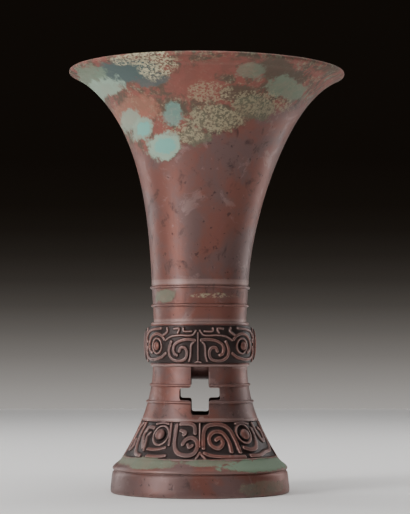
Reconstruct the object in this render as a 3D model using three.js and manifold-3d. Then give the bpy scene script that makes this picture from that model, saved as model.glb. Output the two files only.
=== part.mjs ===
// A bronze gu: flared foot, pierced stem, swelling waist band, ribbed neck and trumpet mouth.
// Millimetres, +Z up, origin in the middle of the resting face, front of the vessel towards -Y.
// Angles round the vessel are degrees from the front, growing towards +X.

import * as THREE from 'three';
import { mergeVertices } from 'three/addons/utils/BufferGeometryUtils.js';
import Module from 'manifold-3d';

const wasm = await Module();
wasm.setup();

const SEGMENTS = 48;

// Register borders, from the table up
const FOOT_RIM_TOP = 11.3;
const FRIEZE_BASE = 17.8;
const STEM_BASE = 36.6;
const WAIST_BASE = 62.3;
const NECK_BASE = 84.3;
const TRUMPET_BASE = 104;

// Foot
const FOOT_RADIUS = 44.5;
const FOOT_RIM_WALL = 3.0;
const FOOT_UNDERCUT = 0.6;
const FLARE_TOP_RADIUS = 23.5;
const FLARE_SPREAD = 14.9;
const FLARE_POWER = 1.9;
const FOOT_WALL = 2.6;

// Domed studs on the foot frieze
const FOOT_BOSS_Z = 29.6;
const FOOT_BOSS_RADIUS = 3.0;
const FOOT_BOSS_RISE = 1.6;
const FOOT_BOSS_TURN = 3;
const FOOT_BOSS_SPREAD = 40;

// Cross-shaped openings through the front and the back of the stem
const CROSS_BASE = 39.0;
const CROSS_ARM_WIDTH = 8.7;
const CROSS_SPAN = 20;
const CROSS_SPAN_BASE = 46.1;
const CROSS_SPAN_TOP = 52.1;
const CROSS_CORNER = 1.1;
const CROSS_CORNER_STEPS = 3;

// Raised lines round the stem and the neck
const RIB_WIDTH = 1.6;
const RIB_RISE = 0.9;
const STEM_RIB_GAP = 0.3;
const NECK_RIBS = [92.5, 101.5];

// Waist band
const BORDER_RADIUS = 24.5;
const BORDER_WIDTH = 2.0;
const WAIST_EDGE_RADIUS = 25.9;
const WAIST_MID_RADIUS = 26.7;
const WAIST_BORE = 21.0;
const EYE_Z = 72.5;
const EYE_RADIUS = 2.3;
const EYE_RISE = 1.3;
const EYE_SPREAD = 52;
const NOSE_HALF_WIDTH = 1.5;
const NOSE_HALF_HEIGHT = 7.6;
const NOSE_RISE = 1.4;

// Floor of the cup, a dish hanging by its flange from the top of the stem
const FLOOR_UNDERSIDE = 55.8;
const FLOOR_THICKNESS = 1.8;
const FLOOR_RADIUS = 19.8;
const FLANGE_RADIUS = 22.4;
const FLANGE_THICKNESS = 1.5;

// Neck and trumpet
const NECK_LOW_RADIUS = 23.0;
const NECK_HIGH_RADIUS = 24.2;
const NECK_WALL = 2.1;
const TRUMPET_WALL = 1.9;
const TRUMPET_CONTROL_LOW = new THREE.Vector2(25.9, 139.6);
const TRUMPET_CONTROL_HIGH = new THREE.Vector2(37.8, 194.3);
const TRUMPET_STEPS = 13;

// Lip
const MOUTH_RADIUS = 69.0;
const HEIGHT = 210;
const LIP_RADIUS = 1.15;
const LIP_START = 0.94;
const LIP_TURN_STEPS = 5;

// Clearances
const SEAT_GAP = 0.3;

const BRONZE = new THREE.MeshStandardMaterial({
  name: 'bronze',
  color: 0x6e4a3c,
  metalness: 0.55,
  roughness: 0.5,
});

const group = new THREE.Group();
group.name = 'bronze_gu_vase';

function point(radius, height) {
  return new THREE.Vector2(radius, height);
}

function welded(geometry) {
  const bare = geometry.clone();
  bare.deleteAttribute('normal');
  bare.deleteAttribute('uv');
  return mergeVertices(bare, 1e-4);
}

function toManifold(geometry) {
  const clean = welded(geometry);
  return new wasm.Manifold(new wasm.Mesh({
    numProp: 3,
    vertProperties: new Float32Array(clean.attributes.position.array),
    triVerts: new Uint32Array(clean.index.array),
  }));
}

function fromManifold(solid) {
  const mesh = solid.getMesh();
  const geometry = new THREE.BufferGeometry();
  const positions = [];
  for (let i = 0; i < mesh.vertProperties.length; i += mesh.numProp) {
    positions.push(...mesh.vertProperties.slice(i, i + 3));
  }
  geometry.setAttribute('position', new THREE.Float32BufferAttribute(positions, 3));
  geometry.setIndex([...mesh.triVerts]);
  return geometry;
}

function place(name, geometry) {
  const shaped = welded(geometry);
  shaped.computeVertexNormals();
  const mesh = new THREE.Mesh(shaped, BRONZE);
  mesh.name = name;
  group.add(mesh);
  return mesh;
}

// Turns an outline of radius and height once round the vessel's axis.
function revolve(outline) {
  const closed = [...outline];
  const first = outline[0];
  const last = outline[outline.length - 1];
  const onAxis = first.x < 1e-6 && last.x < 1e-6;
  if (!onAxis) {
    closed.push(first.clone());
  }
  const geometry = new THREE.LatheGeometry(closed, SEGMENTS);
  geometry.rotateX(Math.PI / 2);
  return geometry;
}

// Outer radius of the foot frieze and the stem, which are one continuous flare.
function flareRadius(height) {
  const fall = (WAIST_BASE - height) / (WAIST_BASE - FRIEZE_BASE);
  return FLARE_TOP_RADIUS + FLARE_SPREAD * fall ** FLARE_POWER;
}

function flareSlope(height) {
  const step = 0.01;
  return (flareRadius(height + step) - flareRadius(height - step)) / (2 * step);
}

function neckRadius(height) {
  const rise = (height - NECK_BASE) / (TRUMPET_BASE - NECK_BASE);
  return NECK_LOW_RADIUS + (NECK_HIGH_RADIUS - NECK_LOW_RADIUS) * rise;
}

// Outer radius of the waist band's ground between its two borders.
function waistRadius(height) {
  const low = WAIST_BASE + BORDER_WIDTH;
  const high = NECK_BASE - BORDER_WIDTH;
  const across = (2 * height - low - high) / (high - low);
  return WAIST_MID_RADIUS - (WAIST_MID_RADIUS - WAIST_EDGE_RADIUS) * across ** 2;
}

// The lip's round end touches the mouth radius and the full height.
function lipCentre() {
  return point(MOUTH_RADIUS - LIP_RADIUS, HEIGHT - LIP_RADIUS);
}

function trumpetCurve() {
  const centre = lipCentre();
  const run = centre.clone().sub(TRUMPET_CONTROL_HIGH).normalize();
  const end = point(centre.x + run.y * LIP_RADIUS, centre.y - run.x * LIP_RADIUS);
  const start = point(NECK_HIGH_RADIUS, TRUMPET_BASE);
  return new THREE.CubicBezierCurve(start, TRUMPET_CONTROL_LOW, TRUMPET_CONTROL_HIGH, end);
}

// A point on the inner face of the trumpet, opposite the outer point at the same parameter.
function trumpetInner(curve, t, wall) {
  const outer = curve.getPoint(t);
  const run = curve.getTangent(t);
  return point(outer.x - run.y * wall, outer.y + run.x * wall);
}

function span(from, to, steps) {
  return Array.from({ length: steps + 1 }, (_, i) => from + ((to - from) * i) / steps);
}

function footRim() {
  const inner = FOOT_RADIUS - FOOT_RIM_WALL;
  const top = FOOT_RADIUS - FOOT_UNDERCUT - 0.9;
  place('foot_rim', revolve([
    point(inner + 0.4, 0),
    point(FOOT_RADIUS - 0.5, 0),
    point(FOOT_RADIUS - 0.1, 0.5),
    point(FOOT_RADIUS, 2.5),
    point(FOOT_RADIUS - 0.4, 5.5),
    point(FOOT_RADIUS - 0.8, 9.5),
    point(top, FOOT_RIM_TOP),
    point(inner - 1.2, FOOT_RIM_TOP),
    point(inner, 1.2),
  ]));
}

function footShoulder() {
  const edge = FOOT_RADIUS - FOOT_UNDERCUT - 0.4;
  const frieze = flareRadius(FRIEZE_BASE);
  place('foot_shoulder', revolve([
    point(edge - 0.4, FOOT_RIM_TOP),
    point(edge, FOOT_RIM_TOP + 0.6),
    point(edge - 0.3, FOOT_RIM_TOP + 1.7),
    point(edge - 1.4, FOOT_RIM_TOP + 2.8),
    point(edge - 3.6, FOOT_RIM_TOP + 4.4),
    point(frieze, FRIEZE_BASE),
    point(frieze - FOOT_WALL, FRIEZE_BASE),
    point(edge - 5.6, FOOT_RIM_TOP + 2.4),
    point(FOOT_RADIUS - FOOT_RIM_WALL - 1.2, FOOT_RIM_TOP),
  ]));
}

function footFrieze() {
  const levels = span(FRIEZE_BASE, STEM_BASE, 6);
  const outer = levels.map((z) => point(flareRadius(z), z));
  const inner = levels.toReversed().map((z) => point(flareRadius(z) - FOOT_WALL, z));
  place('foot_frieze', revolve([...outer, ...inner]));
}

// A low dome with a flat base, facing away from the vessel's wall.
function dome(halfWidth, halfHeight, rise) {
  const outline = [
    point(0, 0),
    point(1, 0),
    point(0.9, 0.45),
    point(0.6, 0.8),
    point(0, 1),
  ];
  const geometry = new THREE.LatheGeometry(outline, 12);
  geometry.rotateX(Math.PI / 2);
  geometry.scale(halfWidth, halfHeight, rise);
  return geometry;
}

// Seats a raised detail on the wall: degrees round, height, wall radius there and wall slope.
function seat(geometry, degrees, height, radius, slope) {
  const angle = THREE.MathUtils.degToRad(degrees);
  const out = new THREE.Vector3(Math.sin(angle), -Math.cos(angle), 0);
  const around = new THREE.Vector3(Math.cos(angle), Math.sin(angle), 0);
  const normal = out.clone().addScaledVector(new THREE.Vector3(0, 0, 1), -slope).normalize();
  const up = new THREE.Vector3().crossVectors(normal, around);
  const turn = new THREE.Matrix4().makeBasis(around, up, normal);
  const base = out.clone().multiplyScalar(radius);
  base.z = height;
  base.addScaledVector(normal, SEAT_GAP);
  turn.setPosition(base);
  return geometry.applyMatrix4(turn);
}

function footBosses() {
  const spots = [
    FOOT_BOSS_TURN - FOOT_BOSS_SPREAD,
    FOOT_BOSS_TURN + FOOT_BOSS_SPREAD,
    180 + FOOT_BOSS_TURN - FOOT_BOSS_SPREAD,
    180 + FOOT_BOSS_TURN + FOOT_BOSS_SPREAD,
  ];
  const radius = flareRadius(FOOT_BOSS_Z);
  const slope = flareSlope(FOOT_BOSS_Z);
  spots.forEach((degrees, i) => {
    const boss = dome(FOOT_BOSS_RADIUS, FOOT_BOSS_RADIUS, FOOT_BOSS_RISE - SEAT_GAP);
    place(`foot_boss_${i + 1}`, seat(boss, degrees, FOOT_BOSS_Z, radius, slope));
  });
}

// Corner points of the cross, walked round once, with every corner rounded.
function crossOutline() {
  const arm = CROSS_ARM_WIDTH / 2;
  const half = CROSS_SPAN / 2;
  const above = WAIST_BASE + 5;
  const corners = [
    [-arm, CROSS_BASE], [arm, CROSS_BASE],
    [arm, CROSS_SPAN_BASE], [half, CROSS_SPAN_BASE],
    [half, CROSS_SPAN_TOP], [arm, CROSS_SPAN_TOP],
    [arm, above], [-arm, above],
    [-arm, CROSS_SPAN_TOP], [-half, CROSS_SPAN_TOP],
    [-half, CROSS_SPAN_BASE], [-arm, CROSS_SPAN_BASE],
  ].map(([x, z]) => point(x, z));
  return corners.flatMap((corner, i) => {
    const before = corners[(i + corners.length - 1) % corners.length];
    const after = corners[(i + 1) % corners.length];
    const entry = corner.clone().add(before.clone().sub(corner).setLength(CROSS_CORNER));
    const exit = corner.clone().add(after.clone().sub(corner).setLength(CROSS_CORNER));
    const bend = new THREE.QuadraticBezierCurve(entry, corner, exit);
    return bend.getPoints(CROSS_CORNER_STEPS);
  });
}

// A bar in the shape of the cross, long enough to pass both walls of the stem.
function crossCutter() {
  const reach = FOOT_RADIUS;
  const bar = new THREE.ExtrudeGeometry(new THREE.Shape(crossOutline()), {
    depth: 2 * reach,
    bevelEnabled: false,
    curveSegments: 1,
  });
  bar.rotateX(Math.PI / 2);
  bar.translate(0, reach, 0);
  return toManifold(bar);
}

// Height limits of the two raised lines, one below and one above the cross's side arms.
function stemRibs() {
  const low = CROSS_SPAN_BASE - STEM_RIB_GAP - RIB_WIDTH;
  const high = CROSS_SPAN_TOP + STEM_RIB_GAP;
  return [
    { name: 'stem_bowstring_lower', base: low, top: low + RIB_WIDTH },
    { name: 'stem_bowstring_upper', base: high, top: high + RIB_WIDTH },
  ];
}

function stem(cutter) {
  const [low, high] = stemRibs();
  const levels = [
    STEM_BASE, 39.2, 41.8, low.base, low.top, 49.1, high.base, high.top, 58, WAIST_BASE,
  ];
  const outer = levels.map((z) => point(flareRadius(z), z));
  const inner = [WAIST_BASE, 55, 48, 42, STEM_BASE].map((z) => point(flareRadius(z) - FOOT_WALL, z));
  const whole = toManifold(revolve([...outer, ...inner]));
  place('stem', fromManifold(whole.subtract(cutter)));
}

// A raised line standing on the wall between two heights of one straight facet.
function ribOutline(base, top, wallRadius) {
  const middle = (base + top) / 2;
  const crown = wallRadius(middle) + RIB_RISE;
  return [
    point(wallRadius(base), base),
    point(crown - 0.25, base + 0.3),
    point(crown, middle),
    point(crown - 0.25, top - 0.3),
    point(wallRadius(top), top),
  ];
}

function stemBowstrings(cutter) {
  for (const rib of stemRibs()) {
    const ring = toManifold(revolve(ribOutline(rib.base, rib.top, flareRadius)));
    const halves = ring.subtract(cutter).decompose();
    for (const half of halves) {
      const box = half.boundingBox();
      const side = box.min[0] + box.max[0] < 0 ? 'left' : 'right';
      place(`${rib.name}_${side}`, fromManifold(half));
    }
  }
}

function waistBand() {
  const low = WAIST_BASE + BORDER_WIDTH;
  const high = NECK_BASE - BORDER_WIDTH;
  const ground = span(low, high, 6).map((z) => point(waistRadius(z), z));
  const rebate = FLANGE_RADIUS + SEAT_GAP;
  const rebateTop = WAIST_BASE + FLANGE_THICKNESS + SEAT_GAP;
  place('waist_band', revolve([
    point(rebate, WAIST_BASE),
    point(BORDER_RADIUS - 0.4, WAIST_BASE),
    point(BORDER_RADIUS, WAIST_BASE + 0.5),
    point(BORDER_RADIUS, low - 0.4),
    ...ground,
    point(BORDER_RADIUS, high + 0.4),
    point(BORDER_RADIUS, NECK_BASE - 0.5),
    point(BORDER_RADIUS - 0.5, NECK_BASE),
    point(NECK_LOW_RADIUS - NECK_WALL, NECK_BASE),
    point(WAIST_BORE, NECK_BASE - 3),
    point(WAIST_BORE, rebateTop),
    point(rebate, rebateTop),
  ]));
}

function waistBosses() {
  const spots = [-EYE_SPREAD, EYE_SPREAD, 180 - EYE_SPREAD, 180 + EYE_SPREAD];
  spots.forEach((degrees, i) => {
    const eye = dome(EYE_RADIUS, EYE_RADIUS, EYE_RISE - SEAT_GAP);
    place(`waist_boss_${i + 1}`, seat(eye, degrees, EYE_Z, waistRadius(EYE_Z), 0));
  });
}

function maskNoses() {
  const middle = (WAIST_BASE + NECK_BASE) / 2;
  for (const [name, degrees] of [['mask_nose_left', -90], ['mask_nose_right', 90]]) {
    const nose = dome(NOSE_HALF_WIDTH, NOSE_HALF_HEIGHT, NOSE_RISE - SEAT_GAP);
    place(name, seat(nose, degrees, middle, waistRadius(middle), 0));
  }
}

function cupFloor() {
  const top = FLOOR_UNDERSIDE + FLOOR_THICKNESS;
  const flangeTop = WAIST_BASE + FLANGE_THICKNESS;
  place('cup_floor', revolve([
    point(0, FLOOR_UNDERSIDE),
    point(FLOOR_RADIUS * 0.45, FLOOR_UNDERSIDE + 0.6),
    point(FLOOR_RADIUS * 0.78, FLOOR_UNDERSIDE + 2.2),
    point(FLOOR_RADIUS * 0.95, FLOOR_UNDERSIDE + 4.4),
    point(FLOOR_RADIUS, WAIST_BASE),
    point(FLANGE_RADIUS, WAIST_BASE),
    point(FLANGE_RADIUS, flangeTop),
    point(FLOOR_RADIUS - FLOOR_THICKNESS + 0.6, flangeTop),
    point(FLOOR_RADIUS * 0.85, top + 3.4),
    point(FLOOR_RADIUS * 0.68, top + 1.6),
    point(FLOOR_RADIUS * 0.4, top + 0.4),
    point(0, top),
  ]));
}

function neck() {
  const cuts = NECK_RIBS.flatMap((z) => [z - RIB_WIDTH / 2, z + RIB_WIDTH / 2]);
  const levels = [NECK_BASE, ...cuts, TRUMPET_BASE];
  const outer = levels.map((z) => point(neckRadius(z), z));
  const inner = [TRUMPET_BASE, NECK_BASE].map((z) => point(neckRadius(z) - NECK_WALL, z));
  place('neck', revolve([...outer, ...inner]));
  const names = ['neck_bowstring_lower', 'neck_bowstring_upper'];
  NECK_RIBS.forEach((z, i) => {
    place(names[i], revolve(ribOutline(z - RIB_WIDTH / 2, z + RIB_WIDTH / 2, neckRadius)));
  });
}

function trumpetWall(t) {
  const lipWall = 2 * LIP_RADIUS;
  const blend = THREE.MathUtils.smoothstep(t, LIP_START - 0.12, 1);
  return TRUMPET_WALL + (lipWall - TRUMPET_WALL) * blend;
}

function trumpet() {
  const curve = trumpetCurve();
  const steps = span(0, LIP_START, TRUMPET_STEPS);
  const outer = steps.map((t) => curve.getPoint(t));
  const inner = steps.slice(1).map((t) => trumpetInner(curve, t, trumpetWall(t)));
  const foot = point(NECK_HIGH_RADIUS - NECK_WALL, TRUMPET_BASE);
  place('trumpet', revolve([...outer, ...inner.toReversed(), foot]));
}

function lip() {
  const curve = trumpetCurve();
  const centre = lipCentre();
  const run = curve.getTangent(1);
  const lean = Math.atan2(run.y, run.x);
  const outer = [LIP_START, (LIP_START + 1) / 2].map((t) => curve.getPoint(t));
  const turn = span(-Math.PI / 2, Math.PI / 2, LIP_TURN_STEPS).map((a) => point(
    centre.x + LIP_RADIUS * Math.cos(a + lean),
    centre.y + LIP_RADIUS * Math.sin(a + lean),
  ));
  const inner = [(LIP_START + 1) / 2, LIP_START].map((t) => trumpetInner(curve, t, trumpetWall(t)));
  place('lip', revolve([...outer, ...turn, ...inner]));
}

function build() {
  const cutter = crossCutter();
  footRim();
  footShoulder();
  footFrieze();
  footBosses();
  stem(cutter);
  stemBowstrings(cutter);
  cupFloor();
  waistBand();
  waistBosses();
  maskNoses();
  neck();
  trumpet();
  lip();
}

build();

export default group;
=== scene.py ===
"""A bronze gu vase: fine surfaces, cast relief, aged finish, studio floor, lights and camera.

Sizes are millimetres in the script and metres in Blender. Angles round the vessel are degrees
from the front (-Y), growing towards +X, as in the solids that the pieces stand for.
"""

import logging
import math
from dataclasses import dataclass, field
from enum import Enum

import bmesh
import bpy
import numpy as np
from mathutils import Matrix, Vector


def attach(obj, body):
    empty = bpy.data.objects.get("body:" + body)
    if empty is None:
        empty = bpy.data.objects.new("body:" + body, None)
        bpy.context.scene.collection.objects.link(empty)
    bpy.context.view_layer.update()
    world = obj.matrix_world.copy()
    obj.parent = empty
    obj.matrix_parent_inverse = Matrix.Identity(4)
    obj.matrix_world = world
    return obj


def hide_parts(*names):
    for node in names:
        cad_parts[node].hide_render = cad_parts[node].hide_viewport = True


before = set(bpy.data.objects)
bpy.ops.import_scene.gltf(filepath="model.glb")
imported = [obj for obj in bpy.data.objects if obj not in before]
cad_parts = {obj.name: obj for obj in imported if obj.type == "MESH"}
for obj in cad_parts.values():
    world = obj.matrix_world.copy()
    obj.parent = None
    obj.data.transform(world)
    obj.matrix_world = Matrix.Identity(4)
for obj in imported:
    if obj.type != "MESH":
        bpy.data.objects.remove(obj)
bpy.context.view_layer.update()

logging.basicConfig(level=logging.INFO, format="%(relativeCreated)6.0f ms  %(message)s")
LOG = logging.getLogger("gu")

MM = 0.001
ROOT_BODY = "root"
SMOOTH_STEPS = 256
SHARP_ANGLE = math.radians(38)

Outline = list[tuple[float, float]]
Stroke = tuple[list[tuple[float, float]], float]


class Slot(Enum):
    """The record's finishes."""

    PLAIN = "plain_bronze"
    RELIEF = "relief_bronze"
    PATINATED = "patinated_bronze"


def span(start: float, end: float, steps: int) -> list[float]:
    """Evenly spaced values.

    Args:
        start: First value.
        end: Last value.
        steps: Number of equal steps between them.

    Returns:
        steps + 1 values.
    """
    return [start + (end - start) * i / steps for i in range(steps + 1)]


def smoothstep(low: float, high: float, value: np.ndarray) -> np.ndarray:
    """Soft ramp from 0 at low to 1 at high."""
    t = np.clip((value - low) / (high - low), 0.0, 1.0)
    return t * t * (3 - 2 * t)


@dataclass(frozen=True)
class Vessel:
    """The outline shared by every piece, in millimetres."""

    foot_rim_top: float = 11.3
    frieze_base: float = 17.8
    stem_base: float = 36.6
    waist_base: float = 62.3
    neck_base: float = 84.3
    trumpet_base: float = 104.0
    height: float = 210.0
    foot_radius: float = 44.5
    foot_wall: float = 2.6
    flare_top_radius: float = 23.5
    flare_spread: float = 14.9
    flare_power: float = 1.9
    border_width: float = 2.0
    border_radius: float = 24.5
    waist_edge_radius: float = 25.9
    waist_mid_radius: float = 26.7
    waist_bore: float = 21.0
    neck_low_radius: float = 23.0
    neck_high_radius: float = 24.2
    neck_wall: float = 2.1
    trumpet_wall: float = 1.9
    mouth_radius: float = 69.0
    lip_radius: float = 1.15
    lip_start: float = 0.94
    control_low: tuple[float, float] = (25.9, 139.6)
    control_high: tuple[float, float] = (37.8, 194.3)

    def flare(self, height: float | np.ndarray) -> float | np.ndarray:
        """Outer radius of the foot frieze and the stem."""
        fall = (self.waist_base - height) / (self.waist_base - self.frieze_base)
        return self.flare_top_radius + self.flare_spread * fall**self.flare_power

    def flare_slope(self, height: float) -> float:
        """Change of the flare's radius with height."""
        return (self.flare(height + 0.01) - self.flare(height - 0.01)) / 0.02

    def neck(self, height: float) -> float:
        """Outer radius of the neck."""
        rise = (height - self.neck_base) / (self.trumpet_base - self.neck_base)
        return self.neck_low_radius + (self.neck_high_radius - self.neck_low_radius) * rise

    def waist(self, height: float | np.ndarray) -> float | np.ndarray:
        """Outer radius of the waist band between its borders."""
        low = self.waist_base + self.border_width
        high = self.neck_base - self.border_width
        across = (2 * height - low - high) / (high - low)
        return self.waist_mid_radius - (self.waist_mid_radius - self.waist_edge_radius) * across**2

    def lip_centre(self) -> Vector:
        """Centre of the lip's round end."""
        return Vector((self.mouth_radius - self.lip_radius, self.height - self.lip_radius))

    def trumpet(self, t: float) -> tuple[Vector, Vector]:
        """Outer point of the trumpet and its unit direction at a curve parameter."""
        centre = self.lip_centre()
        p2 = Vector(self.control_high)
        run = (centre - p2).normalized()
        p0 = Vector((self.neck_high_radius, self.trumpet_base))
        p1 = Vector(self.control_low)
        p3 = centre + Vector((run.y, -run.x)) * self.lip_radius
        u = 1 - t
        spot = p0 * u**3 + p1 * 3 * u * u * t + p2 * 3 * u * t * t + p3 * t**3
        way = (p1 - p0) * u * u + (p2 - p1) * 2 * u * t + (p3 - p2) * t * t
        return spot, way.normalized()

    def trumpet_inner(self, t: float) -> Vector:
        """Inner point of the trumpet's wall opposite the outer point at t."""
        spot, way = self.trumpet(t)
        ramp = float(smoothstep(self.lip_start - 0.12, 1.0, np.array(t)))
        wall = self.trumpet_wall + (2 * self.lip_radius - self.trumpet_wall) * ramp
        return spot + Vector((-way.y, way.x)) * wall


@dataclass(frozen=True)
class Lean:
    """How far the old vessel's trumpet leans and its rim tips, in millimetres."""

    start: float = 100.0
    end: float = 185.0
    shift: float = 3.4
    tip: float = 0.7
    mouth: float = 69.0

    def bend(self, points: np.ndarray) -> np.ndarray:
        """Returns the points moved by the lean."""
        ramp = smoothstep(self.start, self.end, points[:, 2])
        moved = points.copy()
        moved[:, 0] += self.shift * ramp
        moved[:, 2] -= self.tip * ramp**3 * points[:, 0] / self.mouth
        return moved


VESSEL = Vessel()
LEAN = Lean()


@dataclass(frozen=True)
class Cross:
    """The cross-shaped opening, walked round once, and its cutting bar."""

    base: float = 39.0
    arm: float = 4.35
    half_span: float = 10.0
    span_base: float = 46.1
    span_top: float = 52.1
    corner: float = 1.3
    steps: int = 5

    def outline(self) -> Outline:
        """Corner points of the opening, each corner rounded."""
        top = VESSEL.waist_base + 6
        right = [
            (self.arm, self.base), (self.arm + 0.1, self.span_base),
            (self.half_span, self.span_base + 0.2), (self.half_span - 0.2, self.span_top),
            (self.arm - 0.1, self.span_top), (self.arm, top),
        ]
        left = [
            (-self.arm, top), (-self.arm, self.span_top + 0.1),
            (-self.half_span, self.span_top - 0.1), (-self.half_span + 0.1, self.span_base),
            (-self.arm, self.span_base - 0.1), (-self.arm + 0.15, self.base + 0.1),
        ]
        corners = [Vector(c) for c in right + left]
        points = []
        for i, corner in enumerate(corners):
            entry = corner + (corners[i - 1] - corner).normalized() * self.corner
            leave = corner + (corners[(i + 1) % len(corners)] - corner).normalized() * self.corner
            for t in span(0, 1, self.steps):
                spot = entry * (1 - t) ** 2 + corner * 2 * t * (1 - t) + leave * t * t
                points.append((spot.x, spot.y))
        return points

    def bar(self) -> bpy.types.Object:
        """A bar of the opening's shape that passes both walls of the stem."""
        bm = bmesh.new()
        reach = VESSEL.foot_radius * MM
        ring = [bm.verts.new((x * MM, -reach, z * MM)) for x, z in self.outline()]
        face = bm.faces.new(ring)
        grown = bmesh.ops.extrude_face_region(bm, geom=[face])
        tips = [v for v in grown["geom"] if isinstance(v, bmesh.types.BMVert)]
        bmesh.ops.translate(bm, verts=tips, vec=(0, 2 * reach, 0))
        bmesh.ops.recalc_face_normals(bm, faces=bm.faces)
        mesh = bpy.data.meshes.new("cross_bar")
        bm.to_mesh(mesh)
        bm.free()
        bar = bpy.data.objects.new("cross_bar", mesh)
        bpy.context.scene.collection.objects.link(bar)
        return bar


@dataclass(frozen=True)
class Relief:
    """Raised strokes on a band: a field of heights from 0 on the ground to 1 on a crest."""

    strokes: tuple[Stroke, ...]
    studs: tuple[tuple[float, float], ...]
    moat: float
    ring: float
    ring_half: float
    soft: float = 0.32
    bend_steps: int = 5

    def smooth(self, points: list[tuple[float, float]]) -> np.ndarray:
        """A curve through the stroke's points."""
        if len(points) < 3:
            return np.array(points, dtype=float)
        p = np.array([points[0], *points, points[-1]], dtype=float)
        out = []
        for i in range(1, len(p) - 2):
            for t in span(0, 1, self.bend_steps)[:-1]:
                a = 2 * p[i]
                b = (p[i + 1] - p[i - 1]) * t
                c = (2 * p[i - 1] - 5 * p[i] + 4 * p[i + 1] - p[i + 2]) * t * t
                d = (3 * p[i] - p[i - 1] - 3 * p[i + 1] + p[i + 2]) * t**3
                out.append((a + b + c + d) / 2)
        out.append(p[-2])
        return np.array(out)

    def heights(self, around: np.ndarray, up: np.ndarray, scale: np.ndarray) -> np.ndarray:
        """Heights of the relief.

        Args:
            around: Place round the band, in the strokes' unit.
            up: Height above the band's base, in millimetres.
            scale: Millimetres per unit of around, at each point.

        Returns:
            A value from 0 to 1 for each point.
        """
        height = np.zeros_like(up)
        for points, half in self.strokes:
            path = self.smooth(points)
            reach = half + self.soft
            nearest = np.full_like(up, 1e9)
            for start, end in zip(path[:-1], path[1:]):
                middle = (start + end) / 2
                margin = np.abs(end - start) / 2
                near = np.abs(up - middle[1]) < margin[1] + reach
                near &= np.abs(around - middle[0]) * scale < margin[0] * scale + reach
                wide = scale[near]
                ex = (end[0] - start[0]) * wide
                ey = end[1] - start[1]
                px = (around[near] - start[0]) * wide
                py = up[near] - start[1]
                t = np.clip((px * ex + py * ey) / (ex * ex + ey * ey + 1e-9), 0, 1)
                nearest[near] = np.minimum(nearest[near], np.hypot(px - t * ex, py - t * ey))
            height = np.maximum(height, 1 - smoothstep(half - self.soft, reach, nearest))
        for centre, rise in self.studs:
            reach = np.hypot((around - centre) * scale, up - rise)
            height *= smoothstep(self.moat, self.moat + 0.5, reach)
            away = np.abs(reach - self.ring)
            band = 1 - smoothstep(self.ring_half - self.soft, self.ring_half + self.soft, away)
            height = np.maximum(height, band)
        return height


WAIST_ZONE = VESSEL.waist_base + VESSEL.border_width
WAIST_RELIEF = Relief(
    strokes=(
        ([(0, 1.2), (0, 14.6)], 0.42),
        ([(0, 0.6), (1.3, 0.2)], 0.5),
        ([(2.2, 10.0), (3.3, 8.6), (3.6, 5.6), (3.8, 3.0), (4.5, 0.9)], 0.55),
        ([(1.6, 11.0), (4.6, 11.4), (8.6, 10.8), (11.8, 9.1), (12.8, 6.8), (12.2, 4.4),
          (10.9, 3.7)], 0.78),
        ([(14.0, 10.2), (15.4, 6.3), (14.8, 3.0), (12.3, 1.2), (8.6, 1.0), (6.1, 2.4),
          (5.5, 5.3), (6.7, 7.3), (8.7, 7.3), (9.5, 5.6)], 0.78),
        ([(17.4, 11.0), (14.0, 12.8), (9.0, 13.4), (5.1, 13.2), (2.6, 13.6), (1.0, 15.6)], 0.5),
        ([(12.6, 16.6), (9.8, 16.6), (10.4, 14.6)], 0.55),
        ([(17.0, 16.8), (16.6, 15.2), (19.0, 13.6)], 0.6),
        ([(7.5, 16.8), (7.0, 15.3), (3.2, 15.3)], 0.5),
        ([(18.4, 11.4), (20.4, 13.2), (24.5, 14.2), (29.0, 12.9), (31.6, 9.8), (31.6, 6.6),
          (29.2, 5.0)], 0.7),
        ([(17.6, 4.6), (20.6, 2.8), (25.0, 1.8), (30.0, 1.6), (34.6, 2.6), (36.4, 5.2),
          (34.8, 7.6)], 0.75),
        ([(21.4, 16.8), (28.0, 16.4), (33.6, 15.2), (36.8, 12.4), (34.6, 10.2)], 0.65),
        ([(38.9, 0.8), (39.0, 8.5), (38.9, 16.8)], 0.6),
    ),
    studs=((24.0, 8.2),),
    moat=2.5,
    ring=3.7,
    ring_half=0.5,
)

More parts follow.
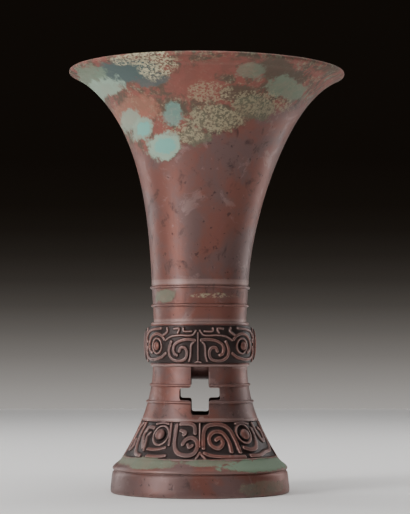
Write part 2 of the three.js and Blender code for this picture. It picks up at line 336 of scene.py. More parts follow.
FOOT_ZONE = 18.0
FOOT_RELIEF = Relief(
    strokes=(
        ([(-22, 16.2), (-22, 12.0), (-21, 6.8), (-18, 3.6), (-13, 2.3), (-8, 2.2), (-4, 3.4),
          (-2, 6.3), (-3, 9.0), (-7, 10.4), (-12, 9.4), (-14, 7.5)], 1.0),
        ([(-18, 16.8), (-10, 17.0), (-5, 15.8), (-4, 12.6)], 0.95),
        ([(-17, 13.7), (-13, 12.9), (-14, 11.8)], 0.9),
        ([(-10, 7.2), (-8.5, 5.9), (-6, 6.8)], 0.75),
        ([(0, 17.0), (0, 6.2)], 0.45),
        ([(0, 3.4), (-3, 0.6)], 0.6),
        ([(0, 3.4), (4, 0.6)], 0.6),
        ([(3, 5.7), (3.6, 13.0), (8, 16.1), (20, 16.5), (28, 14.1), (31.5, 9.4), (33, 3.6)], 1.0),
        ([(25.5, 3.8), (25, 8.5), (20.5, 12.6), (12.5, 13.0), (8, 10.3), (9.5, 6.8), (15, 5.4),
          (19.6, 7.8), (17.6, 10.2), (14, 9.4)], 0.95),
        ([(3.5, 3.2), (7.5, 2.2), (14, 1.6), (23, 1.3), (36, 1.2)], 0.8),
        ([(-53, 5.4), (-59, 11.0), (-55, 14.8), (-47.5, 14.6)], 0.85),
        ([(-50, 4.0), (-51.5, 7.6), (-53, 10.6), (-50, 12.4)], 0.6),
        ([(-46, 4.6), (-37, 4.6), (-29, 5.6)], 0.7),
        ([(-44, 1.4), (-34, 1.4), (-27, 1.8)], 0.7),
        ([(-28, 16.8), (-27, 12), (-26, 7)], 0.7),
        ([(-45, 16.6), (-38, 17.2), (-31, 16.8)], 0.6),
        ([(38, 5.4), (45, 4.4), (52, 5.4), (56, 9.4), (56, 14.0)], 0.9),
        ([(36, 16.8), (44, 17.2), (52, 16.6)], 0.6),
        ([(60, 16.6), (63, 11.4), (67, 8.2), (72, 9.0), (73, 12.6), (69, 14.2)], 0.85),
        ([(42, 1.6), (52, 1.6), (62, 3.0), (72, 3.6), (79, 6.4), (80, 11.0), (78, 16.4)], 0.85),
        ([(86.5, 16.8), (86.5, 1.0)], 0.8),
        ([(-64, 16.6), (-66, 11.4), (-64, 6.6), (-59, 2.4), (-52, 1.4)], 0.85),
        ([(-70, 16.6), (-76, 14.0), (-79, 9.0), (-76, 4.2), (-71, 4.6), (-71, 8.6)], 0.85),
        ([(-86, 16.8), (-86, 1.0)], 0.7),
    ),
    studs=((-36.5, 11.2), (42.8, 12.0)),
    moat=3.3,
    ring=4.5,
    ring_half=0.5,
)


def turned(outline: Outline, steps: int = SMOOTH_STEPS) -> bmesh.types.BMesh:
    """Turns a closed outline once round the axis.

    Args:
        outline: Radius and height points, in millimetres.
        steps: Facets round the vessel.

    Returns:
        A closed mesh in metres, normals outward.
    """
    bm = bmesh.new()
    ring = [bm.verts.new((radius * MM, 0, height * MM)) for radius, height in outline]
    edges = [bm.edges.new((a, b)) for a, b in zip(ring[:-1], ring[1:])]
    if outline[0][0] > 1e-6:
        edges.append(bm.edges.new((ring[-1], ring[0])))
    bmesh.ops.spin(
        bm, geom=ring + edges, cent=(0, 0, 0), axis=(0, 0, 1), angle=2 * math.pi,
        steps=steps, use_merge=True, use_duplicate=False,
    )
    bmesh.ops.remove_doubles(bm, verts=bm.verts, dist=1e-7)
    bmesh.ops.recalc_face_normals(bm, faces=bm.faces)
    return bm


def mesh_from(bm: bmesh.types.BMesh, name: str) -> bpy.types.Mesh:
    """Moves a bmesh into a new mesh."""
    mesh = bpy.data.meshes.new(name)
    bm.to_mesh(mesh)
    bm.free()
    return mesh


def points_of(mesh: bpy.types.Mesh) -> np.ndarray:
    """The mesh's points in millimetres."""
    flat = np.empty(len(mesh.vertices) * 3)
    mesh.vertices.foreach_get("co", flat)
    return flat.reshape(-1, 3) / MM


def move_points(mesh: bpy.types.Mesh, points: np.ndarray) -> None:
    """Writes points in millimetres back to the mesh."""
    mesh.vertices.foreach_set("co", (points * MM).ravel())
    mesh.update()


def degrees_round(points: np.ndarray) -> np.ndarray:
    """Angle of each point from the front, growing towards +X."""
    return np.degrees(np.arctan2(points[:, 0], -points[:, 1]))


def store(mesh: bpy.types.Mesh, name: str, values: np.ndarray) -> None:
    """Keeps one number per point for the finish to read."""
    layer = mesh.attributes.new(name, "FLOAT", "POINT")
    layer.data.foreach_set("value", values.astype(np.float32))


def deliver(
    mesh: bpy.types.Mesh, nodes: list[str], finish: bpy.types.Material
) -> bpy.types.Object:
    """Finishes one piece and hands it to the frame.

    Args:
        mesh: The piece's mesh, upright and in metres.
        nodes: The solids that it stands for.
        finish: Its material.

    Returns:
        The finished object.
    """
    move_points(mesh, LEAN.bend(points_of(mesh)))
    mesh.polygons.foreach_set("use_smooth", [True] * len(mesh.polygons))
    mesh.set_sharp_from_angle(angle=SHARP_ANGLE)
    mesh.materials.append(finish)
    piece = bpy.data.objects.new(mesh.name, mesh)
    bpy.context.scene.collection.objects.link(piece)
    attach(piece, ROOT_BODY)
    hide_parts(*nodes)
    LOG.info("%s: %d faces, stands for %s", mesh.name, len(mesh.polygons), ", ".join(nodes))
    return piece


def pierced(mesh: bpy.types.Mesh, name: str, soften: float) -> bpy.types.Mesh:
    """Cuts the cross-shaped openings through a mesh and softens their edges."""
    bar = Cross().bar()
    work = bpy.data.objects.new(name + "_work", mesh)
    bpy.context.scene.collection.objects.link(work)
    cut = work.modifiers.new("openings", "BOOLEAN")
    cut.operation = "DIFFERENCE"
    cut.solver = "EXACT"
    cut.object = bar
    if soften > 0:
        edge = work.modifiers.new("worn edges", "BEVEL")
        edge.width = soften * MM
        edge.segments = 2
        edge.limit_method = "ANGLE"
        edge.angle_limit = math.radians(50)
    shaped = work.evaluated_get(bpy.context.evaluated_depsgraph_get())
    result = bpy.data.meshes.new_from_object(shaped)
    result.name = name
    bpy.data.objects.remove(work)
    bpy.data.objects.remove(bar)
    return result


class Graph:
    """Short hand for wiring one node tree."""

    def __init__(self, tree: bpy.types.NodeTree) -> None:
        self.tree = tree

    def add(self, kind: str, **settings: object) -> bpy.types.Node:
        """Adds a node and sets its options."""
        node = self.tree.nodes.new(kind)
        for key, value in settings.items():
            setattr(node, key, value)
        return node

    def feed(self, socket: bpy.types.NodeSocket, value: object) -> None:
        """Wires a socket into another, or sets its constant."""
        if isinstance(value, bpy.types.NodeSocket):
            self.tree.links.new(value, socket)
        else:
            socket.default_value = value

    def math(self, operation: str, a: object, b: object = 0.0) -> bpy.types.NodeSocket:
        """One sum."""
        node = self.add("ShaderNodeMath", operation=operation)
        self.feed(node.inputs[0], a)
        self.feed(node.inputs[1], b)
        return node.outputs[0]

    def ramp(self, value: object, low: float, high: float) -> bpy.types.NodeSocket:
        """Soft ramp from 0 at low to 1 at high."""
        node = self.add("ShaderNodeMapRange", interpolation_type="SMOOTHSTEP")
        self.feed(node.inputs["Value"], value)
        node.inputs["From Min"].default_value = low
        node.inputs["From Max"].default_value = high
        return node.outputs["Result"]

    def between(self, value: object, a: float, b: float, c: float, d: float) -> bpy.types.NodeSocket:
        """1 between b and c, falling to 0 at a and d."""
        rise = self.ramp(value, a, b)
        fall = self.math("SUBTRACT", 1.0, self.ramp(value, c, d))
        return self.math("MULTIPLY", rise, fall)

    def mix(self, factor: object, a: object, b: object) -> bpy.types.NodeSocket:
        """Mixes two colours."""
        node = self.add("ShaderNodeMix", data_type="RGBA")
        self.feed(node.inputs[0], factor)
        self.feed(node.inputs[6], a)
        self.feed(node.inputs[7], b)
        return node.outputs[2]

    def noise(
        self, where: object, scale: float, detail: float = 4.0, rough: float = 0.55,
        distortion: float = 0.0,
    ) -> bpy.types.NodeSocket:
        """Cloudy value about 0.5."""
        node = self.add("ShaderNodeTexNoise")
        self.feed(node.inputs["Vector"], where)
        node.inputs["Scale"].default_value = scale
        node.inputs["Detail"].default_value = detail
        node.inputs["Roughness"].default_value = rough
        node.inputs["Distortion"].default_value = distortion
        return node.outputs["Fac"]


def rgb(red: int, green: int, blue: int) -> tuple[float, float, float, float]:
    """A linear colour from display values of 0 to 255."""
    def linear(value: int) -> float:
        share = value / 255
        return share / 12.92 if share <= 0.04045 else ((share + 0.055) / 1.055) ** 2.4

    return (linear(red), linear(green), linear(blue), 1.0)


@dataclass(frozen=True)
class Palette:
    """The colours of the aged bronze, whose pale and dark colours also serve as painted highlight and
    painted shade.
    """

    purple: tuple = rgb(100, 76, 73)
    red: tuple = rgb(114, 71, 62)
    # Dark tone for random blots and pits; in creases and low relief it is painted shade.
    dark: tuple = rgb(44, 32, 30)
    # Pale tone for random blots; on high edges it is a painted highlight as well as wear.
    pale_tone_and_highlight: tuple = rgb(158, 132, 126)
    olive: tuple = rgb(78, 66, 52)
    rosy: tuple = rgb(128, 72, 62)
    orange: tuple = rgb(158, 104, 84)
    tan: tuple = rgb(150, 140, 112)
    moss: tuple = rgb(92, 96, 76)
    sage: tuple = rgb(108, 124, 104)
    slate: tuple = rgb(70, 84, 82)
    mint: tuple = rgb(138, 158, 140)
    cream: tuple = rgb(176, 168, 136)
    turquoise: tuple = rgb(112, 162, 150)


PALETTE = Palette()


def make_group(name: str, outputs: dict[str, str]) -> tuple[bpy.types.NodeTree, Graph, bpy.types.Node]:
    """Starts a node group with the given outputs.

    Args:
        name: The group's name.
        outputs: Socket name to socket type.

    Returns:
        The tree, its wiring helper and its output node.
    """
    tree = bpy.data.node_groups.new(name, "ShaderNodeTree")
    for label, kind in outputs.items():
        tree.interface.new_socket(label, in_out="OUTPUT", socket_type=kind)
    graph = Graph(tree)
    return tree, graph, graph.add("NodeGroupOutput")


def skin_group() -> bpy.types.NodeTree:
    """Red-brown and purple clouds, fine pits and the roughness that go over all the bronze."""
    tree, g, out = make_group("bronze_skin", {
        "Color": "NodeSocketColor", "Roughness": "NodeSocketFloat", "Height": "NodeSocketFloat",
    })
    where = g.add("ShaderNodeTexCoord").outputs["Object"]
    clouds = g.noise(where, 38, 5, 0.6, 0.4)
    blots = g.noise(where, 95, 6, 0.65, 0.6)
    grain = g.noise(where, 900, 3, 0.6)
    pits = g.noise(where, 420, 2, 0.5)
    color = g.mix(g.ramp(clouds, 0.42, 0.6), PALETTE.purple, PALETTE.red)
    color = g.mix(g.math("MULTIPLY", g.ramp(blots, 0.56, 0.7), 0.6), color, PALETTE.dark)
    color = g.mix(g.math("MULTIPLY", g.ramp(blots, 0.44, 0.34), 0.25), color, PALETTE.pale_tone_and_highlight)
    color = g.mix(g.math("MULTIPLY", g.ramp(pits, 0.66, 0.74), 0.6), color, PALETTE.dark)
    rough = g.math("ADD", 0.36, g.math("MULTIPLY", blots, 0.22))
    height = g.math("ADD", g.math("MULTIPLY", grain, 0.25), g.math("MULTIPLY", clouds, 0.8))
    height = g.math("SUBTRACT", height, g.math("MULTIPLY", g.ramp(pits, 0.64, 0.74), 0.6))
    g.feed(out.inputs["Color"], color)
    g.feed(out.inputs["Roughness"], rough)
    g.feed(out.inputs["Height"], height)
    return tree


@dataclass(frozen=True)
class Patch:
    """One stain: its middle seen from the front, its half sizes, in millimetres, and its colour."""

    x: float
    z: float
    half_x: float
    half_z: float
    color: tuple
    strength: float = 1.0
    grainy: bool = False

    def closeness(self, g: Graph, x: object, z: object) -> bpy.types.NodeSocket:
        """1 in the middle, 0 at the edge, less outside."""
        across = g.math("DIVIDE", g.math("SUBTRACT", x, self.x), self.half_x)
        along = g.math("DIVIDE", g.math("SUBTRACT", z, self.z), self.half_z)
        far = g.math("ADD", g.math("MULTIPLY", across, across), g.math("MULTIPLY", along, along))
        return g.math("SUBTRACT", 1.0, g.math("SQRT", far))


PATCHES = (
    Patch(-31, 187, 13, 7, PALETTE.orange, 0.6),
    Patch(-4, 197, 15, 9, PALETTE.rosy, 0.8),
    Patch(11, 204, 9, 4, PALETTE.rosy, 0.7),
    Patch(20, 192, 10, 5, PALETTE.olive, 0.9),
    Patch(36, 203, 12, 5, PALETTE.olive, 0.9),
    Patch(8, 181, 15, 7, PALETTE.moss, 0.8),
    Patch(26, 187, 13, 6, PALETTE.moss, 0.8),
    Patch(42, 197, 12, 5.5, PALETTE.sage, 0.8),
    Patch(24.5, 202, 9, 4, PALETTE.sage, 0.6),
    Patch(-2, 173, 9, 5, PALETTE.moss, 0.8),
    Patch(8, 181, 15, 7, PALETTE.tan, 0.9, True),
    Patch(28, 189, 18, 6, PALETTE.tan, 0.7, True),
    Patch(-6, 174, 11, 5, PALETTE.tan, 0.9, True),
    Patch(4, 193, 12, 5, PALETTE.tan, 0.7, True),
    Patch(-38, 203.5, 20, 5.5, PALETTE.slate, 1.0),
    Patch(-23, 199.5, 10, 4, PALETTE.slate, 0.9),
    Patch(-55, 203, 12, 6, PALETTE.sage, 0.9),
    Patch(-50, 199, 14, 4.5, PALETTE.mint, 0.9),
    Patch(-20, 204.5, 10, 6, PALETTE.cream, 1.0, True),
    # Cream crust on the lip's left top, partly a painted highlight of the lit rim edge.
    Patch(-29, 208, 16, 3, PALETTE.cream, 0.9, True),
    Patch(-34, 183.3, 6, 5.5, PALETTE.mint, 0.8),
    Patch(-28, 178.4, 6.5, 6, PALETTE.mint, 0.9),
    Patch(-17.8, 169, 9.5, 7.5, PALETTE.mint, 1.0),
    Patch(-27.5, 178, 4, 3.6, PALETTE.turquoise, 1.0),
    Patch(-17, 169.4, 5.5, 4.2, PALETTE.turquoise, 1.0),
    Patch(-12.8, 184, 5, 6, PALETTE.turquoise, 0.6),
    Patch(28, 15, 22, 3.6, PALETTE.sage, 1.0),
    Patch(-26, 16, 18, 3.0, PALETTE.sage, 0.8),
    Patch(4, 16.8, 16, 1.8, PALETTE.sage, 0.8),
    Patch(30, 4, 14, 4, PALETTE.sage, 0.5),
    Patch(-17, 97, 6, 4, PALETTE.sage, 0.7),
    Patch(4, 97, 14, 1.5, PALETTE.cream, 0.6, True),
)


def corrosion_group() -> bpy.types.NodeTree:
    """Colour, cover and crust of the stains that lie over the bronze."""
    tree, g, out = make_group("corrosion", {
        "Color": "NodeSocketColor", "Cover": "NodeSocketFloat", "Crust": "NodeSocketFloat",
    })
    where = g.add("ShaderNodeTexCoord").outputs["Object"]
    parts = g.add("ShaderNodeSeparateXYZ")
    g.feed(parts.inputs[0], where)
    x = g.math("MULTIPLY", parts.outputs["X"], 1000.0)
    z = g.math("MULTIPLY", parts.outputs["Z"], 1000.0)
    broad = g.noise(where, 70, 7, 0.68, 0.7)
    fine = g.noise(where, 230, 6, 0.72, 0.4)
    speck = g.noise(where, 780, 4, 0.72)

    # The stain's lower edge climbs towards +X.
    off = g.math("ADD", x, 20.0)
    climb = g.math("MAXIMUM", g.math("MULTIPLY", off, 0.36), g.math("MULTIPLY", off, -0.30))
    wander = g.math("MULTIPLY", g.math("SUBTRACT", broad, 0.5), 16.0)
    above = g.math("SUBTRACT", g.math("SUBTRACT", z, g.math("ADD", climb, 164.0)), wander)
    upper = g.ramp(above, -1.0, 5.0)

    mottle = g.ramp(g.noise(where, 120, 6, 0.66, 0.9), 0.42, 0.58)
    color = g.mix(mottle, PALETTE.olive, PALETTE.rosy)
    dust = g.math("MULTIPLY", g.ramp(speck, 0.5, 0.62), g.ramp(fine, 0.46, 0.6))
    color = g.mix(g.math("MULTIPLY", dust, 0.75), color, PALETTE.tan)
    color = g.mix(g.math("MULTIPLY", g.ramp(fine, 0.55, 0.68), 0.6), color, PALETTE.sage)
    cover = g.math("MULTIPLY", upper, 0.85)

    jitter = g.math("ADD", g.math("MULTIPLY", broad, 1.3), g.math("MULTIPLY", fine, 1.1))
    jitter = g.math("SUBTRACT", jitter, 1.2)
    grain = g.ramp(speck, 0.46, 0.54)
    for patch in PATCHES:
        near = g.math("ADD", patch.closeness(g, x, z), jitter)
        mask = g.math("MULTIPLY", g.ramp(near, 0.0, 0.3), patch.strength)
        if patch.grainy:
            mask = g.math("MULTIPLY", mask, grain)
        color = g.mix(mask, color, patch.color)
        cover = g.math("MAXIMUM", cover, mask)
    g.feed(out.inputs["Color"], color)
    g.feed(out.inputs["Cover"], cover)
    g.feed(out.inputs["Crust"], g.math("MULTIPLY", cover, g.math("ADD", fine, speck)))
    return tree


@dataclass
class Finisher:
    """Makes the bronze materials from the two shared groups."""

    skin: bpy.types.NodeTree = field(default_factory=skin_group)
    corrosion: bpy.types.NodeTree = field(default_factory=corrosion_group)

    def bronze(self, name: str, slot: Slot, rub_and_highlight: float, metal: float) -> bpy.types.Material:
        """One aged bronze, with a painted highlight on its high edges and painted shade in its creases and
        low relief.

        Args:
            name: The material's name.
            slot: Which of the record's finishes it is.
            rub_and_highlight: How pale the high edges are made, from 0 to 1, partly as rubbed wear and
                partly as a painted highlight.
            metal: How metallic the bare bronze looks.

        Returns:
            The material.
        """
        material = bpy.data.materials.new(name)
        material.use_nodes = True
        g = Graph(material.node_tree)
        shader = material.node_tree.nodes["Principled BSDF"]
        skin = g.add("ShaderNodeGroup", node_tree=self.skin)
        rust = g.add("ShaderNodeGroup", node_tree=self.corrosion)
        color = skin.outputs["Color"]
        edge = g.add("ShaderNodeNewGeometry").outputs["Pointiness"]
        # Painted highlight and wear: convex edges found by pointiness are mixed towards the pale colour.
        color = g.mix(g.math("MULTIPLY", g.ramp(edge, 0.515, 0.56), rub_and_highlight), color, PALETTE.pale_tone_and_highlight)
        # Painted shade: concave creases found by pointiness are darkened.
        color = g.mix(g.math("MULTIPLY", g.ramp(edge, 0.485, 0.44), 0.7), color, PALETTE.dark)
        if slot is Slot.RELIEF:
            # Painted shade: the relief's low ground and the foot of each dome are darkened.
            rise = g.add("ShaderNodeAttribute", attribute_name="relief").outputs["Fac"]
            color = g.mix(g.ramp(rise, 0.75, 0.15), color, PALETTE.dark)
        color = g.mix(rust.outputs["Cover"], color, rust.outputs["Color"])
        g.feed(shader.inputs["Base Color"], color)
        bare = g.math("SUBTRACT", 1.0, rust.outputs["Cover"])
        g.feed(shader.inputs["Metallic"], g.math("MULTIPLY", bare, metal))
        crusty = g.math("MULTIPLY", rust.outputs["Cover"], 0.35)
        g.feed(shader.inputs["Roughness"], g.math("ADD", skin.outputs["Roughness"], crusty))
        bump = g.add("ShaderNodeBump")
        bump.inputs["Strength"].default_value = 0.35
        bump.inputs["Distance"].default_value = 0.35 * MM
        height = g.math("ADD", skin.outputs["Height"], rust.outputs["Crust"])
        g.feed(bump.inputs["Height"], height)
        g.feed(shader.inputs["Normal"], bump.outputs["Normal"])
        return material


@dataclass
class Foot:
    """The foot rim, its sloping shoulder, the frieze and the frieze's studs."""

    plain: bpy.types.Material
    relief: bpy.types.Material
    frieze_steps: int = 720
    frieze_rows: int = 72
    ground: float = -0.75
    rise: float = 0.95
    stud_radius: float = 3.0
    stud_rise: float = 1.6
    stud_height: float = 29.6
    stud_turns: tuple[float, ...] = (-37, 43, 143, 223)

    def rim(self) -> None:
        """The upright rim that the vase stands on."""
        v = VESSEL
        inner = v.foot_radius - 3.0
        outline = [
            (inner + 0.4, 0.0), (v.foot_radius - 0.8, 0.0), (v.foot_radius - 0.3, 0.25),
            (v.foot_radius - 0.05, 0.9), (v.foot_radius, 2.5), (v.foot_radius - 0.25, 4.5),
            (v.foot_radius - 0.5, 7.0), (v.foot_radius - 0.75, 9.0), (v.foot_radius - 1.0, 10.2),
            (v.foot_radius - 1.7, 10.9), (v.foot_radius - 1.9, v.foot_rim_top),
            (inner - 1.2, v.foot_rim_top), (inner - 0.5, 5.0), (inner, 1.2),
        ]
        deliver(mesh_from(turned(outline), "fine_foot_rim"), ["foot_rim"], self.plain)

    def shoulder(self) -> None:
        """The rounded edge above the rim and the slope up to the frieze."""
        v = VESSEL
        edge = v.foot_radius - 1.0
        base = v.foot_rim_top
        frieze = float(v.flare(v.frieze_base))
        outline = [
            (v.foot_radius - 1.9, base), (edge - 0.4, base + 0.15), (edge - 0.05, base + 0.5),
            (edge + 0.02, base + 0.95), (edge - 0.15, base + 1.5), (edge - 0.7, base + 2.2),
            (edge - 1.6, base + 3.0), (edge - 2.9, base + 4.0), (edge - 4.1, base + 5.1),
            (frieze + 0.3, v.frieze_base - 0.4), (frieze - 0.2, v.frieze_base),
            (frieze - v.foot_wall, v.frieze_base), (edge - 5.6, base + 2.4),
            (v.foot_radius - 4.2, base),
        ]
        deliver(mesh_from(turned(outline), "fine_foot_shoulder"), ["foot_shoulder"], self.plain)

    def frieze(self) -> None:
        """The flared band of scrolls."""
        v = VESSEL
        levels = span(v.frieze_base, v.stem_base, self.frieze_rows)
        outer = [(float(v.flare(z)), z) for z in levels]
        inner = [(float(v.flare(z)) - v.foot_wall, z) for z in span(v.stem_base, v.frieze_base, 5)]
        mesh = mesh_from(turned(outer + inner, self.frieze_steps), "fine_foot_frieze")
        points = points_of(mesh)
        radius = np.hypot(points[:, 0], points[:, 1])
        z = np.clip(points[:, 2], v.frieze_base, v.stem_base)
        wall = v.flare(z)
        around = degrees_round(points)
        folded = (around - 3 + 90) % 180 - 90 + 3
        lines = FOOT_RELIEF.heights(folded, z - FOOT_ZONE, np.radians(1) * wall)
        low = 1 - smoothstep(v.frieze_base + 0.3, v.frieze_base + 0.8, z)
        high = smoothstep(v.stem_base - 1.2, v.stem_base - 0.8, z)
        lines = np.maximum(lines, np.maximum(low, high))
        outside = np.abs(radius - wall) < 0.05
        offset = np.where(outside, self.ground + self.rise * lines, 0.0)
        points[:, 0] *= (radius + offset) / radius
        points[:, 1] *= (radius + offset) / radius
        move_points(mesh, points)
        # These heights also set the painted shade on the frieze's low ground.
        store(mesh, "relief", np.where(outside, lines, 1.0))
        deliver(mesh, ["foot_frieze"], self.relief)

    def studs(self) -> None:
        """The domed studs of the frieze."""
        for number, turn in enumerate(self.stud_turns, start=1):
            mesh = dome_mesh(f"fine_foot_stud_{number}", self.stud_radius, self.stud_radius, self.stud_rise)
            wall = float(VESSEL.flare(self.stud_height))
            seat(mesh, turn, self.stud_height, wall, VESSEL.flare_slope(self.stud_height))
            deliver(mesh, [f"foot_boss_{number}"], self.relief)


def dome_mesh(name: str, half_width: float, half_height: float, rise: float) -> bpy.types.Mesh:
    """A round-topped dome with a skirt that goes into the wall, facing +Z at the origin."""
    skirt = -1.1 / rise
    outline = [(0.0, skirt), (1.0, skirt), (1.0, -0.15)]
    outline += [(math.cos(a), 1.15 * math.sin(a) - 0.15) for a in span(0.12, math.pi / 2, 12)]
    outline[-1] = (0.0, 1.0)
    mesh = mesh_from(turned(outline, 40), name)
    points = points_of(mesh) * np.array((half_width, half_height, rise))
    move_points(mesh, points)
    # This value darkens the dome's foot where it meets the wall: painted shade.
    store(mesh, "relief", smoothstep(0.1, 0.6, points[:, 2] / rise))
    return mesh


def seat(mesh: bpy.types.Mesh, turn: float, height: float, radius: float, slope: float) -> None:
    """Moves a raised detail to its place on the wall.

    Args:
        mesh: The detail, facing +Z at the origin.
        turn: Degrees round the vessel.
        height: Its height.
        radius: The wall's radius there.
        slope: The wall's change of radius with height there.
    """
    angle = math.radians(turn)
    out = Vector((math.sin(angle), -math.cos(angle), 0))
    around = Vector((math.cos(angle), math.sin(angle), 0))
    normal = (out - slope * Vector((0, 0, 1))).normalized()
    up = normal.cross(around)
    basis = np.array((around, up, normal))
    centre = np.array((out.x * radius, out.y * radius, height))
    move_points(mesh, points_of(mesh) @ basis + centre)


def rib_outline(base: float, top: float, wall: float, rise: float = 0.9) -> Outline:
    """A half-round raised line sunk a little into the wall."""
    middle = (base + top) / 2
    half = (top - base) / 2
    bow = [(wall + rise * math.cos(a), middle + half * math.sin(a)) for a in span(-1.5, 1.5, 10)]
    return [(wall - 0.6, base), *bow, (wall - 0.6, top)]


@dataclass
class Stem:
    """The pierced stem, its two broken ribs and the floor of the cup."""

    plain: bpy.types.Material
    edge: float = 0.28

    def tube(self) -> None:
        """The stem with its two cross-shaped openings."""
        v = VESSEL
        levels = span(v.stem_base, v.waist_base, 24)
        outer = [(float(v.flare(z)), z) for z in levels]
        inner = [(float(v.flare(z)) - v.foot_wall, z) for z in span(v.waist_base, v.stem_base, 8)]
        mesh = pierced(mesh_from(turned(outer + inner), "stem_whole"), "fine_stem", self.edge)
        deliver(mesh, ["stem"], self.plain)

    def ribs(self) -> None:
        """The raised lines just below and above the cross's side arms."""
        cross = Cross()
        bases = {"lower": cross.span_base - 0.3 - 1.6, "upper": cross.span_top + 0.3}
        for side, base in bases.items():
            wall = float(VESSEL.flare(base + 0.8))
            whole = mesh_from(turned(rib_outline(base, base + 1.6, wall)), f"rib_{side}_whole")
            mesh = pierced(whole, f"fine_stem_rib_{side}", 0.0)
            nodes = [f"stem_bowstring_{side}_left", f"stem_bowstring_{side}_right"]
            deliver(mesh, nodes, self.plain)

    def floor(self) -> None:
        """The dish that closes the cup, hanging in the stem."""
        base = VESSEL.waist_base
        under = 55.8
        wall = 1.8
        depth = base - under
        reach = 19.8
        turns = span(0, math.pi / 2, 14)
        outer = [(reach * math.sin(a), base - depth * math.cos(a)) for a in turns]
        outer[0] = (0.0, under)
        top = base + 1.5
        inside = [((reach - wall) * math.sin(a), top - (top - under - wall) * math.cos(a))
                  for a in reversed(turns)]
        inside[-1] = (0.0, under + wall)
        outline = [*outer, (22.4, base), (22.4, top), *inside]
        deliver(mesh_from(turned(outline, 128), "fine_cup_floor"), ["cup_floor"], self.plain)


@dataclass
class Waist:
    """The swelling band of two masks, with its eyes and nose ridges."""

    relief: bpy.types.Material
    steps: int = 640
    rows: int = 76
    ground: float = -0.6
    rise: float = 0.9
    eye_turn: float = 52
    eye_height: float = 72.5

    def band(self) -> None:
        """The band between its two plain borders."""
        v = VESSEL
        low = v.waist_base + v.border_width
        high = v.neck_base - v.border_width
        border = v.border_radius
        rows = [(float(v.waist(z)), z) for z in span(low, high, self.rows)]
        outline = [
            (22.7, v.waist_base), (border - 0.6, v.waist_base), (border - 0.1, v.waist_base + 0.3),
            (border + 0.15, v.waist_base + 0.8), (border + 0.1, low - 0.5), (border - 0.1, low - 0.2),
            *rows,
            (border - 0.1, high + 0.2), (border, high + 0.5), (border - 0.1, v.neck_base - 0.6),
            (border - 0.5, v.neck_base - 0.15), (v.neck_low_radius, v.neck_base),
            (v.neck_low_radius - v.neck_wall, v.neck_base), (v.waist_bore, v.neck_base - 3),
            (v.waist_bore, 64.1), (22.7, 64.1),
        ]
        mesh = mesh_from(turned(outline, self.steps), "fine_waist_band")
        points = points_of(mesh)
        radius = np.hypot(points[:, 0], points[:, 1])
        z = np.clip(points[:, 2], low, high)
        around = degrees_round(points)
        seam = np.cos(np.radians(around))
        turned_by = np.abs(around + 2 * seam * np.abs(seam))
        quarter = np.minimum(turned_by, 180 - turned_by)
        lines = WAIST_RELIEF.heights(quarter * math.radians(26.5), z - WAIST_ZONE, np.ones_like(z))
        inside_zone = (points[:, 2] >= low - 0.01) & (points[:, 2] <= high + 0.01)
        outside = inside_zone & (radius > v.border_radius + 0.8)
        offset = np.where(outside, self.ground + self.rise * lines, 0.0)
        points[:, 0] *= (radius + offset) / radius
        points[:, 1] *= (radius + offset) / radius
        move_points(mesh, points)
        # These heights also set the painted shade on the band's low ground.
        store(mesh, "relief", np.where(outside, lines, 0.9))
        deliver(mesh, ["waist_band"], self.relief)

    def eyes(self) -> None:
        """The round eyes of the masks."""
        turns = (-self.eye_turn, self.eye_turn, 180 - self.eye_turn, 180 + self.eye_turn)
        for number, turn in enumerate(turns, start=1):
            mesh = dome_mesh(f"fine_mask_eye_{number}", 2.3, 2.3, 1.3)
            seat(mesh, turn, self.eye_height, float(VESSEL.waist(self.eye_height)), 0)
            deliver(mesh, [f"waist_boss_{number}"], self.relief)

    def noses(self) -> None:
        """The upright ridge in the middle of each mask."""
        middle = (VESSEL.waist_base + VESSEL.neck_base) / 2
        for side, turn in (("left", -90), ("right", 90)):
            mesh = dome_mesh(f"fine_mask_nose_{side}", 1.5, 7.8, 1.4)
            seat(mesh, turn, middle, float(VESSEL.waist(middle)), 0)
            deliver(mesh, [f"mask_nose_{side}"], self.relief)


@dataclass
class Cup:
    """The ribbed neck, the trumpet and its lip."""

    plain: bpy.types.Material
    patinated: bpy.types.Material
    ribs: tuple[float, float] = (92.5, 101.5)

    def neck(self) -> None:
        """The neck and its two raised lines."""
        v = VESSEL
        outer = [(v.neck(z), z) for z in span(v.neck_base, v.trumpet_base, 12)]
        inner = [(v.neck(z) - v.neck_wall, z) for z in span(v.trumpet_base, v.neck_base, 4)]
        deliver(mesh_from(turned(outer + inner), "fine_neck"), ["neck"], self.plain)
        for side, height in zip(("lower", "upper"), self.ribs):
            outline = rib_outline(height - 0.8, height + 0.8, v.neck(height))
            mesh = mesh_from(turned(outline), f"fine_neck_rib_{side}")
            deliver(mesh, [f"neck_bowstring_{side}"], self.plain)

    def trumpet(self) -> None:
        """The long flare of the mouth."""
        v = VESSEL
        steps = span(0, v.lip_start, 72)
        outer = [tuple(v.trumpet(t)[0]) for t in steps]
        inner = [tuple(v.trumpet_inner(t)) for t in reversed(steps[1:])]
        outline = [*outer, *inner, (v.neck_high_radius - v.neck_wall, v.trumpet_base)]
        mesh = mesh_from(turned(outline), "fine_trumpet")
        deliver(mesh, ["trumpet"], self.patinated)

    def lip(self) -> None:
        """The thickened lip with its round end."""
        v = VESSEL
        centre = v.lip_centre()
        way = v.trumpet(1.0)[1]
        lean = math.atan2(way.y, way.x)
        steps = span(v.lip_start, 1.0, 6)
        outer = [tuple(v.trumpet(t)[0]) for t in steps[:-1]]
        turn = [(centre.x + v.lip_radius * math.cos(a + lean), centre.y + v.lip_radius * math.sin(a + lean))
                for a in span(-math.pi / 2, math.pi / 2, 12)]
        inner = [tuple(v.trumpet_inner(t)) for t in reversed(steps[:-1])]
        mesh = mesh_from(turned([*outer, *turn, *inner]), "fine_lip")
        deliver(mesh, ["lip"], self.patinated)


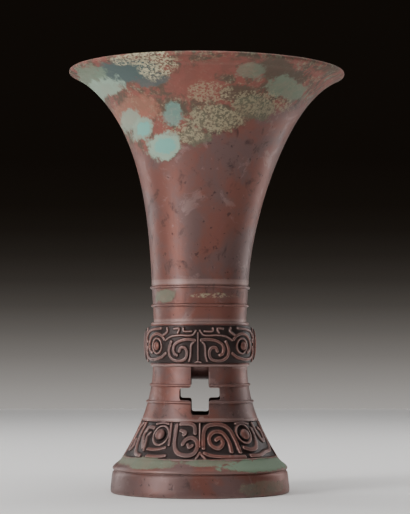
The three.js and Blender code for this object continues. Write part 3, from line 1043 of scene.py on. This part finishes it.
@dataclass
class Studio:
    """The floor, the graded backdrop that glows with painted light, the soft lights and the camera."""

    distance: float = 0.925
    eye_height: float = 0.073
    lens: float = 129.6
    pitch: float = math.radians(2.72)
    backdrop_at: float = 1.2
    backdrop_height: float = 0.32
    # Heights and display levels of the backdrop's painted glow.
    glow_levels: tuple[tuple[float, int], ...] = (
        (0.0, 168), (0.1, 142), (0.19, 118), (0.28, 96), (0.37, 73), (0.46, 54), (0.55, 40),
        (0.64, 29), (0.73, 23), (0.9, 19),
    )

    def floor(self) -> None:
        """A plain pale floor."""
        bm = bmesh.new()
        corners = [(-3, -2, 0), (3, -2, 0), (3, self.backdrop_at, 0), (-3, self.backdrop_at, 0)]
        bm.faces.new([bm.verts.new(corner) for corner in corners])
        floor = bpy.data.objects.new("floor", mesh_from(bm, "floor"))
        material = bpy.data.materials.new("pale_floor")
        material.use_nodes = True
        shader = material.node_tree.nodes["Principled BSDF"]
        shader.inputs["Base Color"].default_value = (0.8, 0.785, 0.77, 1)
        shader.inputs["Roughness"].default_value = 0.8
        floor.data.materials.append(material)
        bpy.context.scene.collection.objects.link(floor)

    def backdrop(self) -> None:
        """A hanging backdrop that glows with painted light, pale at the floor and darkening upwards."""
        bm = bmesh.new()
        far = self.backdrop_at
        corners = [(-3, far, 0), (3, far, 0), (3, far, 3), (-3, far, 3)]
        bm.faces.new([bm.verts.new(corner) for corner in corners])
        sheet = bpy.data.objects.new("backdrop", mesh_from(bm, "backdrop"))
        material = bpy.data.materials.new("painted_glow_backdrop")
        material.use_nodes = True
        g = Graph(material.node_tree)
        parts = g.add("ShaderNodeSeparateXYZ")
        g.feed(parts.inputs[0], g.add("ShaderNodeTexCoord").outputs["Object"])
        rise = g.math("DIVIDE", parts.outputs["Z"], self.backdrop_height)
        grade = g.add("ShaderNodeValToRGB")
        g.feed(grade.inputs["Fac"], rise)
        stops = grade.color_ramp.elements
        while len(stops) < len(self.glow_levels):
            stops.new(0.5)
        for stop, (place, level) in zip(stops, self.glow_levels):
            stop.position = place
            stop.color = rgb(level, level - 4, level - 8)
        shader = material.node_tree.nodes["Principled BSDF"]
        shader.inputs["Base Color"].default_value = (0, 0, 0, 1)
        shader.inputs["Specular IOR Level"].default_value = 0
        # Painted light: the sheet glows, graded from pale at the floor to dark upwards.
        g.feed(shader.inputs["Emission Color"], grade.outputs["Color"])
        shader.inputs["Emission Strength"].default_value = 1.0
        sheet.data.materials.append(material)
        bpy.context.scene.collection.objects.link(sheet)

    def world(self) -> None:
        """A dim, even surround."""
        world = bpy.data.worlds.new("surround")
        world.use_nodes = True
        world.node_tree.nodes["Background"].inputs["Color"].default_value = (0.02, 0.02, 0.02, 1)
        bpy.context.scene.world = world

    def lamp(
        self, name: str, place: tuple[float, float, float], aim: tuple[float, float, float],
        size: tuple[float, float], power: float, color: tuple[float, float, float] = (1, 1, 1),
    ) -> None:
        """One rectangular softbox.

        Args:
            name: The lamp's name.
            place: Where it stands, in metres.
            aim: What it faces.
            size: Its width and height.
            power: Watts.
            color: Its tint.
        """
        light = bpy.data.lights.new(name, "AREA")
        light.shape = "RECTANGLE"
        light.size, light.size_y = size
        light.energy = power
        light.color = color
        lamp = bpy.data.objects.new(name, light)
        way = Vector(aim) - Vector(place)
        turn = way.to_track_quat("-Z", "Y").to_matrix().to_4x4()
        lamp.matrix_world = Matrix.Translation(place) @ turn
        bpy.context.scene.collection.objects.link(lamp)

    def lights(self) -> None:
        """A tall key on the left, a weak fill on the right and a rim strip on each side."""
        middle = (0.0, 0.0, 0.1)
        self.lamp("key", (-0.75, -0.55, 0.32), middle, (0.2, 0.8), 9.0)
        self.lamp("fill", (0.55, -0.8, 0.35), middle, (0.7, 0.7), 1.2)
        self.lamp("rim left", (-0.6, 0.45, 0.2), middle, (0.1, 0.7), 2.0)
        self.lamp("rim right", (0.6, 0.45, 0.2), middle, (0.1, 0.7), 2.0)
        self.lamp("top", (0.0, 0.1, 1.2), (0.0, 0.1, 0.0), (1.2, 1.2), 16.0)

    def camera(self) -> None:
        """The photograph's viewpoint."""
        data = bpy.data.cameras.new("camera")
        data.lens = self.lens
        data.sensor_width = 36
        camera = bpy.data.objects.new("camera", data)
        camera.location = (0.0025, -self.distance, self.eye_height)
        camera.rotation_euler = (math.pi / 2 + self.pitch, 0, 0)
        bpy.context.scene.collection.objects.link(camera)
        bpy.context.scene.camera = camera


def main() -> None:
    """Builds the vase and its studio."""
    finisher = Finisher()
    plain = finisher.bronze("plain bronze", Slot.PLAIN, 0.5, 0.55)
    relief = finisher.bronze("relief bronze", Slot.RELIEF, 0.8, 0.5)
    patinated = finisher.bronze("patinated bronze", Slot.PATINATED, 0.4, 0.55)

    foot = Foot(plain, relief)
    foot.rim()
    foot.shoulder()
    foot.frieze()
    foot.studs()

    stem = Stem(plain)
    stem.tube()
    stem.ribs()
    stem.floor()

    waist = Waist(relief)
    waist.band()
    waist.eyes()
    waist.noses()

    cup = Cup(plain, patinated)
    cup.neck()
    cup.trumpet()
    cup.lip()

    studio = Studio()
    studio.floor()
    studio.backdrop()
    studio.world()
    studio.lights()
    studio.camera()


if __name__ == "__main__":
    main()
